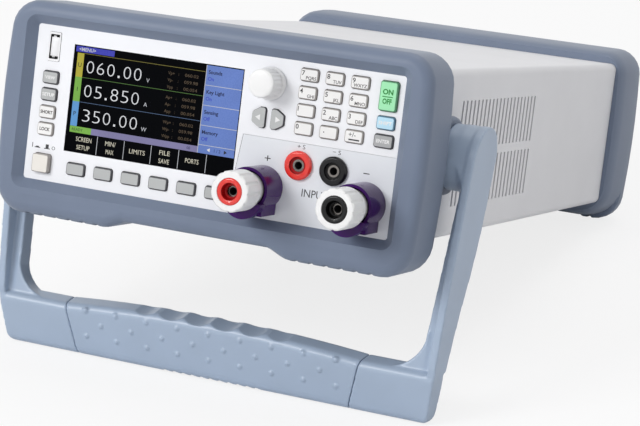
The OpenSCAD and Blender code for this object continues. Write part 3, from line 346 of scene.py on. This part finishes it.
# words and plates
def wordMesh(text, weight=0):
    curve = bpy.data.curves.new("word", "FONT")
    curve.body, curve.extrude, curve.resolution_u, curve.offset = text, 1, 3, weight
    holder = bpy.data.objects.new("word", curve)
    scene.collection.objects.link(holder)
    bpy.context.view_layer.update()
    mesh = bpy.data.meshes.new_from_object(holder.evaluated_get(bpy.context.evaluated_depsgraph_get()))
    bpy.data.objects.remove(holder)
    bpy.data.curves.remove(curve)
    return mesh


ink = {"thick": 0.04, "keyGap": 0.03, "panelGap": 0.02}  # mm
capHeight = max(vert.co.y for vert in wordMesh("H").vertices)


def addWord(shape, text, spot, front, height, width=None, align=0, weight=0):
    # align is 0 for a word that starts at its spot, 0.5 for one that is centred there, 1 for one that ends there
    mesh = wordMesh(text, weight)
    reach = [vert.co.x for vert in mesh.vertices]
    low, high = min(reach), max(reach)
    tall = height / capHeight
    wide = width / (high - low) if width else tall
    mesh.transform(Matrix.Translation((spot[0], front, spot[1])) @ Matrix.Rotation(math.pi / 2, 4, "X")
                   @ Matrix.Diagonal((wide, tall, ink["thick"] / 2, 1))
                   @ Matrix.Translation((-low - align * (high - low), 0, 0)))
    shape.from_mesh(mesh)
    bpy.data.meshes.remove(mesh)


def addPlate(shape, left, right, low, high, front, thick):
    middle = Vector(((left + right) / 2, front + thick / 2, (low + high) / 2))
    bmesh.ops.create_cube(shape, size=1, matrix=Matrix.Translation(middle)
                          @ Matrix.Diagonal((right - left, thick, high - low, 1)))


def addTriangle(shape, spot, front, size, way):
    turn = Matrix.Rotation(math.pi / 2, 4, "X") @ Matrix.Rotation(-way * math.pi / 2, 4, "Z")
    bmesh.ops.create_cone(shape, cap_ends=True, segments=3, radius1=size, radius2=size, depth=ink["thick"],
                          matrix=Matrix.Translation((spot[0], front, spot[1])) @ turn)


# the screen
screen = {"left": 1.9, "right": 95.4, "top": 0.5, "column": 75, "status": 44.7, "bottom": 54.4,  # mm from its top left
          "plateGap": 0.08, "plate": 0.06, "wordGap": 0.14, "line": 0.1, "round": 0.2}
screenColours = {
    "yellow": (190, 180, 50), "green": (125, 185, 70), "sky": (95, 160, 220), "tab": (55, 60, 190),
    "cell": (105, 135, 210), "mauve": (135, 130, 175), "pale": (205, 208, 215), "white": (238, 240, 244),
    "brown": (88, 72, 50), "navy": (24, 38, 84), "blue": (62, 80, 196), "cream": (225, 220, 200),
    "dark": (20, 22, 26), "olive": (132, 124, 44), "moss": (84, 128, 52), "slate": (78, 104, 140),
}
screenLight = {"fade": 0.94, "rough": (0.25, 0.3), "bump": 0, "specular": 0.2, "cloud": 60, "glow": 0.85}
unlit = (0.01, 0.01, 0.012, 1)
glows = {name: mouldedFinish("screen_" + name, dict(screenLight, colour=colour))
         for name, colour in screenColours.items()}
for finish in glows.values():  # a lit dot gives light and takes none
    shader = finish.node_tree.nodes["Principled BSDF"]
    finish.node_tree.links.remove(shader.inputs["Base Color"].links[0])
    shader.inputs["Base Color"].default_value = unlit

dressNode("display_window", screen["round"])
windowLow, windowHigh = caseBox("display_window")
plateFront, wordFront = windowLow.y - screen["plateGap"], windowLow.y - screen["wordGap"]
layers = {name: bmesh.new() for name in screenColours}


def screenPlate(colour, left, right, top, bottom, front=plateFront, thick=screen["plate"]):
    addPlate(layers[colour], windowLow.x + left, windowLow.x + right, windowHigh.z - bottom, windowHigh.z - top,
             front, thick)


def screenLine(colour, left, right, top, bottom):
    screenPlate(colour, left, right, top, bottom, wordFront, screen["line"])


def screenWord(colour, text, left, bottom, height, width=None, align=0, weight=0):
    addWord(layers[colour], text, (windowLow.x + left, windowHigh.z - bottom), wordFront, height, width, align,
            weight)


def screenArrow(colour, middle, low, size, way):
    addTriangle(layers[colour], (windowLow.x + middle, windowHigh.z - low), wordFront, size, way)


menuTab = {"left": 0.8, "right": 22.9, "bottom": 3.4, "wordLeft": 2.6, "wordLow": 2.8, "tall": 1.7, "weight": 0.02}
screenPlate("tab", menuTab["left"], menuTab["right"], screen["top"], menuTab["bottom"])
screenWord("pale", "<MENU>", menuTab["wordLeft"], menuTab["wordLow"], menuTab["tall"], weight=menuTab["weight"])

valueRows = {
    "edges": (3.95, 16.2, 28.8, 41.4), "colours": ("yellow", "green", "sky"), "lines": ("olive", "moss", "slate"),
    "letters": "UIP", "units": "VAW", "values": ("060.00", "05.850", "350.00"), "starts": (7.9, 7.9, 8.4),
    "markRight": 5.7, "letterTall": 2.2, "letterDrop": 1, "lineHalf": 0.12, "lineGap": 0.4, "base": 9.75,
    "digitTall": 6.4, "digitWide": 4.2, "digitStep": 5.95, "digitWeight": -0.02, "pointLeft": 0.25,
    "pointRight": 1.35, "pointTall": 1.1, "pointStep": 3.45, "unitLeft": 42.4, "unitTall": 2.0,
}
peakNotes = {"names": ("p+", "p-", "pp"), "values": ("060.02", "059.98", "00.054"), "first": 4, "step": 3.5,
             "tall": 1.5, "nameLeft": 54.2, "colonLeft": 60, "valueLeft": 63.6, "valueWide": 7.6}
for i, colour in enumerate(valueRows["colours"]):
    top, bottom, unit = valueRows["edges"][i], valueRows["edges"][i + 1], valueRows["units"][i]
    screenPlate(colour, screen["left"], valueRows["markRight"], top, bottom)
    screenWord("dark", valueRows["letters"][i], (screen["left"] + valueRows["markRight"]) / 2,
               (top + bottom) / 2 + valueRows["letterDrop"], valueRows["letterTall"], align=0.5)
    screenPlate(valueRows["lines"][i], valueRows["markRight"], screen["column"] - valueRows["lineGap"],
                top - valueRows["lineHalf"], top + valueRows["lineHalf"])
    base, spot = top + valueRows["base"], valueRows["starts"][i]
    for mark in valueRows["values"][i]:
        if mark == ".":
            screenPlate("white", spot + valueRows["pointLeft"], spot + valueRows["pointRight"],
                        base - valueRows["pointTall"], base)
            spot += valueRows["pointStep"]
        else:
            screenWord("white", mark, spot, base, valueRows["digitTall"], valueRows["digitWide"],
                       weight=valueRows["digitWeight"])
            spot += valueRows["digitStep"]
    screenWord("pale", unit, valueRows["unitLeft"], base, valueRows["unitTall"])
    for line, (name, value) in enumerate(zip(peakNotes["names"], peakNotes["values"])):
        low = top + peakNotes["first"] + peakNotes["step"] * line
        screenWord("brown", unit + name, peakNotes["nameLeft"], low, peakNotes["tall"])
        screenWord("brown", ":", peakNotes["colonLeft"], low, peakNotes["tall"])
        screenWord("brown", value, peakNotes["valueLeft"], low, peakNotes["tall"], peakNotes["valueWide"])

sideColumn = {
    "words": (("Sounds", "On"), ("Key Light", "On"), ("Sensing", "Off"), ("Memory", "Off")),
    "bottoms": (10.5, 20.6, 30.7, 40.5), "inset": 0.2, "wordLeft": 76.4, "nameDrop": 4.2, "stateDrop": 7.6,
    "tall": 1.8, "nameWeight": 0.025, "stateWeight": 0.02, "lineHalf": 0.14, "edge": 0.3, "arrow": 1.1,
    "arrowLow": 42.6, "arrows": (("white", 81.3, -1), ("dark", 90.3, 1)), "page": 86, "pageLow": 43.3,
    "pageTall": 1.5,
}
screenPlate("cell", screen["column"] + sideColumn["inset"], screen["right"], screen["top"], screen["status"])
cellTop = screen["top"]
for (name, state), bottom in zip(sideColumn["words"], sideColumn["bottoms"]):
    screenWord("navy", name, sideColumn["wordLeft"], cellTop + sideColumn["nameDrop"], sideColumn["tall"],
               weight=sideColumn["nameWeight"])
    screenWord("blue", state, sideColumn["wordLeft"], cellTop + sideColumn["stateDrop"], sideColumn["tall"],
               weight=sideColumn["stateWeight"])
    screenLine("pale", screen["column"], screen["right"], bottom - sideColumn["lineHalf"],
               bottom + sideColumn["lineHalf"])
    cellTop = bottom
screenLine("pale", screen["column"], screen["column"] + sideColumn["edge"], screen["top"], screen["status"])
for colour, middle, way in sideColumn["arrows"]:
    screenArrow(colour, middle, sideColumn["arrowLow"], sideColumn["arrow"], way)
screenWord("navy", "1 / 2", sideColumn["page"], sideColumn["pageLow"], sideColumn["pageTall"], align=0.5)

statusLine = {"top": 41.5, "split": 14.3, "wordLow": 43.8, "tall": 1.4, "wordLeft": 3.2, "countLeft": 69}
screenPlate("mauve", statusLine["split"], screen["column"], statusLine["top"], screen["status"])
screenPlate("green", screen["left"], statusLine["split"], statusLine["top"], screen["status"])
screenWord("dark", "READY", statusLine["wordLeft"], statusLine["wordLow"], statusLine["tall"])
screenWord("navy", "00", statusLine["countLeft"], statusLine["wordLow"], statusLine["tall"])

softCells = {
    "words": (("SCREEN", "SETUP"), ("MIN/", "MAX"), ("LIMITS",), ("FILE", "SAVE"), ("PORTS",)), "start": 2.9,
    "edges": (18.4, 33.9, 49.4, 64.95, 80.5), "lineHalf": 0.13, "lineGap": 0.3, "singleLow": 50.7, "firstLow": 48.9,
    "step": 4.2, "tall": 2.3, "letterWide": 1.5,
}
for edge in softCells["edges"]:
    screenPlate("pale", edge - softCells["lineHalf"], edge + softCells["lineHalf"],
                screen["status"] + softCells["lineGap"], screen["bottom"])
cellLefts = (softCells["start"],) + softCells["edges"][:-1]
for words, left, right in zip(softCells["words"], cellLefts, softCells["edges"]):
    for line, word in enumerate(words):
        low = softCells["singleLow"] if len(words) == 1 else softCells["firstLow"] + softCells["step"] * line
        screenWord("cream", word, (left + right) / 2, low, softCells["tall"], softCells["letterWide"] * len(word), 0.5)
for name, shape in layers.items():
    makePiece("screen_" + name, shape, [glows[name]], "chassis")
print("screen drawn")

# key legends
inkLook = {"fade": 0.9, "rough": (0.45, 0.55), "bump": 0, "cloud": 200}
inkColours = {"white": (240, 240, 240), "grey": (78, 74, 74), "black": (44, 44, 48), "leaf": (0, 138, 42)}
inks = {name: mouldedFinish("ink_" + name, dict(inkLook, colour=colour)) for name, colour in inkColours.items()}


def keyMarks(node, colour, draw):
    low, high = caseBox(node)
    shape = bmesh.new()
    draw(shape, (low + high) / 2, low.y - ink["keyGap"])
    makePiece(node + "_" + colour + "_marks", shape, [inks[colour]], bodyOf[node])


def addBar(shape, middle, front, left, right, low, high):
    addPlate(shape, middle.x + left, middle.x + right, middle.z + low, middle.z + high, front - ink["thick"] / 2,
             ink["thick"])


padLetters = {"key_7": "PQRS", "key_8": "TUV", "key_9": "WXYZ", "key_4": "GHI", "key_5": "JKL", "key_6": "MNO",
              "key_2": "ABC", "key_3": "DEF"}
padMarks = {"digit": 2.3, "letter": 1.6, "side": 3.9, "digitLow": -0.3, "letterLow": -2.2, "weight": 0.01}  # mm
for digit in range(10):
    node = "key_" + str(digit)
    keyMarks(node, "black", lambda shape, middle, front: addWord(
        shape, str(digit), (middle.x - padMarks["side"], middle.z + padMarks["digitLow"]), front, padMarks["digit"],
        weight=padMarks["weight"]))
    if node in padLetters:
        keyMarks(node, "grey", lambda shape, middle, front: addWord(
            shape, padLetters[node], (middle.x + padMarks["side"], middle.z + padMarks["letterLow"]), front,
            padMarks["letter"], align=1, weight=padMarks["weight"]))

signMarks = {"left": -2.6, "low": -0.2, "point": 3.45, "sign": 2.3, "bar": (-2.4, 3.2, -1.9, -1.2)}  # mm
keyMarks("key_point", "black", lambda shape, middle, front: addWord(
    shape, ".", (middle.x + signMarks["left"], middle.z + signMarks["low"]), front, signMarks["point"]))
keyMarks("key_sign", "black", lambda shape, middle, front: (
    addWord(shape, "+/-", (middle.x + signMarks["left"], middle.z + signMarks["low"]), front, signMarks["sign"]),
    addBar(shape, middle, front, *signMarks["bar"])))

wordKeys = {"display_key": ("white", "VIEW"), "setup_key": ("white", "SETUP"), "short_key": ("grey", "SHORT"),
            "lock_key": ("grey", "LOCK"), "shift_key": ("white", "SHIFT"), "enter_key": ("white", "ENTER")}
wordMarks = {"tall": 1.6, "widest": 7, "letterWide": 1.5, "weight": 0.03}  # mm
for node, (colour, word) in wordKeys.items():
    wide = min(wordMarks["widest"], wordMarks["letterWide"] * len(word))
    keyMarks(node, colour, lambda shape, middle, front: addWord(
        shape, word, (middle.x, middle.z - wordMarks["tall"] / 2), front, wordMarks["tall"], wide, 0.5,
        wordMarks["weight"]))

onOffMarks = {"shift": -0.2, "tall": 2.4, "onLow": 0.9, "offLow": -3.7, "offWide": 4.8, "weight": 0.035,
              "bar": (-2.9, 2.5, -0.5, -0.05)}  # mm
keyMarks("on_off_key", "leaf", lambda shape, middle, front: (
    addWord(shape, "ON", (middle.x + onOffMarks["shift"], middle.z + onOffMarks["onLow"]), front, onOffMarks["tall"],
            align=0.5, weight=onOffMarks["weight"]),
    addBar(shape, middle, front, *onOffMarks["bar"]),
    addWord(shape, "OFF", (middle.x + onOffMarks["shift"], middle.z + onOffMarks["offLow"]), front,
            onOffMarks["tall"], onOffMarks["offWide"], 0.5, onOffMarks["weight"])))

arrowMarks = {"size": 1.7, "ways": {"left_key": -1, "right_key": 1}}
for node, way in arrowMarks["ways"].items():
    keyMarks(node, "white", lambda shape, middle, front: addTriangle(
        shape, (middle.x, middle.z), front, arrowMarks["size"], way))

# panel marks
panelMarks = {  # left, base line, height and width in mm on the case's front
    "+ S": (49.2, -2.6, 2.1, 4.2), "\u2212 S": (68.2, -2.6, 2.1, 4.2), "+": (32.4, -11.9, 4.0, 3.2),
    "\u2212": (85.4, -11.6, 4.0, 3.2), "INPUT": (54.3, -25.8, 3.8, 14.2),
}
plateTop = caseBox("terminal_plate")[0].y - ink["panelGap"]
shape = bmesh.new()
for word, (left, base, tall, wide) in panelMarks.items():
    addWord(shape, word, (left, base), plateTop, tall, wide)
powerMarks = {"base": -23.7, "tall": 2.4, "bar": -98.3, "barHalf": 0.2, "pressed": (-97, -93.7), "pressedTall": 0.9,
              "raised": (-91.4, -88), "line": 0.45, "inset": 0.8, "foot": 0.3, "capThick": 0.05, "off": -86,
              "offTall": 1.8}  # mm
panelTop = caseBox("front_panel")[0].y - ink["panelGap"]
low, tall = powerMarks["base"], powerMarks["tall"]
addPlate(shape, powerMarks["bar"] - powerMarks["barHalf"], powerMarks["bar"] + powerMarks["barHalf"], low, low + tall,
         panelTop, ink["thick"])
for (left, right), rise in ((powerMarks["pressed"], powerMarks["pressedTall"]), (powerMarks["raised"], tall)):
    addPlate(shape, left, right, low, low + powerMarks["line"], panelTop, ink["thick"])
    addPlate(shape, left + powerMarks["inset"], right - powerMarks["inset"], low + powerMarks["foot"], low + rise,
             panelTop, powerMarks["capThick"])
addWord(shape, "O", (powerMarks["off"], low), panelTop, powerMarks["offTall"], align=0.5)
makePiece("panel_marks", shape, [inks["black"]], "chassis")

# small parts
usbTongue = {"half": (2.35, 4.9), "back": 0.7, "thick": 0.5, "round": 0.15}  # mm
low, high = caseBox("usb_socket")
middle = (low + high) / 2
shape = bmesh.new()
addPlate(shape, middle.x - usbTongue["half"][0], middle.x + usbTongue["half"][0], middle.z - usbTongue["half"][1],
         middle.z + usbTongue["half"][1], low.y + usbTongue["back"], usbTongue["thick"])
softenEdges(shape, usbTongue["round"])
makePiece("usb_tongue", shape, [finishes["usb"]], "chassis")

# the serial port's insert with its two rows of pins
serialPort = {"proud": 0.2, "edge": 1.3, "sunk": 0.2, "thick": 0.5, "round": 1.2, "segments": 4, "rows": (5, 4),
              "pitch": 2.77, "rise": 1.42, "pin": 0.5, "pinSides": 12, "pinLong": 0.5, "pinSunk": 0.1}  # mm
low, high = boxOf([point for point in casePoints("main_board") if point.y > rearHigh.y + serialPort["proud"]])
middle, edge = (low + high) / 2, serialPort["edge"]
shape = bmesh.new()
addPlate(shape, low.x + edge, high.x - edge, low.z + edge, high.z - edge, high.y - serialPort["sunk"],
         serialPort["thick"])
corners = [line for line in shape.edges if abs((line.verts[0].co - line.verts[1].co).y) > serialPort["thick"] / 2]
roundLines(shape, corners, serialPort["round"], serialPort["segments"])
makePiece("serial_insert", shape, [finishes["black"]], "chassis")
shape = bmesh.new()
pinBack = high.y + serialPort["thick"] - serialPort["pinSunk"]
for count, rise in zip(serialPort["rows"], (serialPort["rise"], -serialPort["rise"])):
    for i in range(count):
        spot = (middle.x + (i - (count - 1) / 2) * serialPort["pitch"], pinBack, middle.z + rise)
        bmesh.ops.create_cone(shape, cap_ends=True, segments=serialPort["pinSides"], radius1=serialPort["pin"],
                              radius2=serialPort["pin"], depth=serialPort["pinLong"],
                              matrix=Matrix.Translation(spot) @ Matrix.Rotation(math.pi / 2, 4, "X"))
makePiece("serial_pins", shape, [finishes["steel"]], "chassis")

# a dark sheet behind the side vents stands in for the shade there: painted shade
ventShadeSheet = {"near": 69, "far": 197, "half": 29, "behind": 2.2, "thick": 0.4}  # mm
coverLow, coverHigh = caseBox("top_cover")
shape = bmesh.new()
for side in (coverLow.x + ventShadeSheet["behind"], coverHigh.x - ventShadeSheet["behind"]):
    addPlate(shape, side - ventShadeSheet["thick"] / 2, side + ventShadeSheet["thick"] / 2, -ventShadeSheet["half"],
             ventShadeSheet["half"], ventShadeSheet["near"], ventShadeSheet["far"] - ventShadeSheet["near"])
makePiece("vent_shade_sheets", shape, [finishes["black_and_painted_shade"]], "chassis")
print("marks and small parts made")


# light, floor and camera
def softLamp(name, spot, size, power, target):
    lamp = bpy.data.lights.new(name, "AREA")
    lamp.shape, lamp.size, lamp.energy = "DISK", size, power
    holder = bpy.data.objects.new(name, lamp)
    holder.location = spot
    holder.rotation_euler = (Vector(target) - Vector(spot)).to_track_quat("-Z", "Y").to_euler()
    scene.collection.objects.link(holder)


studio = {"ambient": 0.45, "floorWhite": 0.8, "floorSize": 6, "floorSides": 64, "target": (0, 0, 0.1)}  # m
lamps = {"key_lamp": ((-1.1, -2.0, 1.5), 1.2, 36), "fill_lamp": ((1.7, -0.7, 1.1), 1.4, 2),
         "top_lamp": ((0.2, 0.6, 2.2), 1.6, 12)}  # place and size in m, power in W
for name, (spot, size, power) in lamps.items():
    softLamp(name, spot, size, power, studio["target"])


def eitherRay(tree, first, second):
    step = tree.nodes.new("ShaderNodeMath")
    step.operation = "MAXIMUM"
    tree.links.new(first, step.inputs[0])
    tree.links.new(second, step.inputs[1])
    return step.outputs[0]


def mixSurface(tree, share, first, second, result):
    blend = tree.nodes.new("ShaderNodeMixShader")
    for i, source in enumerate((share, first, second)):
        tree.links.new(source, blend.inputs[i])
    tree.links.new(blend.outputs[0], tree.nodes[result].inputs["Surface"])


# the world lights the part softly and is white to the camera and in mirrored or clear faces
world = bpy.data.worlds.new("studio")
scene.world = world
world.use_nodes = True
tree = world.node_tree
rays = tree.nodes.new("ShaderNodeLightPath").outputs
ambient, white = tree.nodes["Background"], tree.nodes.new("ShaderNodeBackground")
for light in (ambient, white):
    light.inputs["Color"].default_value = (1, 1, 1, 1)
ambient.inputs["Strength"].default_value = studio["ambient"]
mirrored = eitherRay(tree, rays["Is Camera Ray"], rays["Is Glossy Ray"])
plain = eitherRay(tree, mirrored, rays["Is Transmission Ray"])
mixSurface(tree, plain, ambient.outputs[0], white.outputs[0], "World Output")

# the floor is lifted towards white for the camera
floorLook = {"colour": (246, 246, 247), "fade": 0.995, "rough": (0.8, 0.9), "bump": 0, "cloud": 3, "specular": 0.1}
floorShape = bmesh.new()
bmesh.ops.create_circle(floorShape, cap_ends=True, segments=studio["floorSides"], radius=studio["floorSize"])
floorMesh = bpy.data.meshes.new("floor")
floorShape.to_mesh(floorMesh)
floorShape.free()
floor = bpy.data.objects.new("floor", floorMesh)
scene.collection.objects.link(floor)
floorFinish = mouldedFinish("floor_paper", floorLook)
tree = floorFinish.node_tree
lit = tree.nodes.new("ShaderNodeEmission")
rays = tree.nodes.new("ShaderNodeLightPath").outputs
share = tree.nodes.new("ShaderNodeMath")
share.operation = "MULTIPLY"
share.inputs[1].default_value = studio["floorWhite"]
tree.links.new(rays["Is Camera Ray"], share.inputs[0])
mixSurface(tree, share.outputs[0], tree.nodes["Principled BSDF"].outputs[0], lit.outputs[0], "Material Output")
floorMesh.materials.append(floorFinish)

cameraView = {"spot": (496.4, -1066.5, 108.6), "turn": (82.697, -6.849, 23.275),  # mm and degrees in the case's frame
              "focal": 2360.3, "centre": (302.9, 221.9), "picture": (640, 426), "sensor": 36}
camera = bpy.data.cameras.new("camera")
camera.sensor_width = cameraView["sensor"]
wide, high = cameraView["picture"]
camera.lens = cameraView["focal"] * cameraView["sensor"] / wide
camera.shift_x = (wide / 2 - cameraView["centre"][0]) / wide
camera.shift_y = (cameraView["centre"][1] - high / 2) / wide
cameraHolder = bpy.data.objects.new("camera", camera)
scene.collection.objects.link(cameraHolder)
cameraTurn = toWorld.to_quaternion() @ Euler([math.radians(part) for part in cameraView["turn"]]).to_quaternion()
cameraHolder.matrix_world = (Matrix.Translation(toWorld @ Vector(cameraView["spot"]))
                             @ cameraTurn.to_matrix().to_4x4())
scene.camera = cameraHolder
print("light, floor and camera set")

bpy.context.view_layer.update()
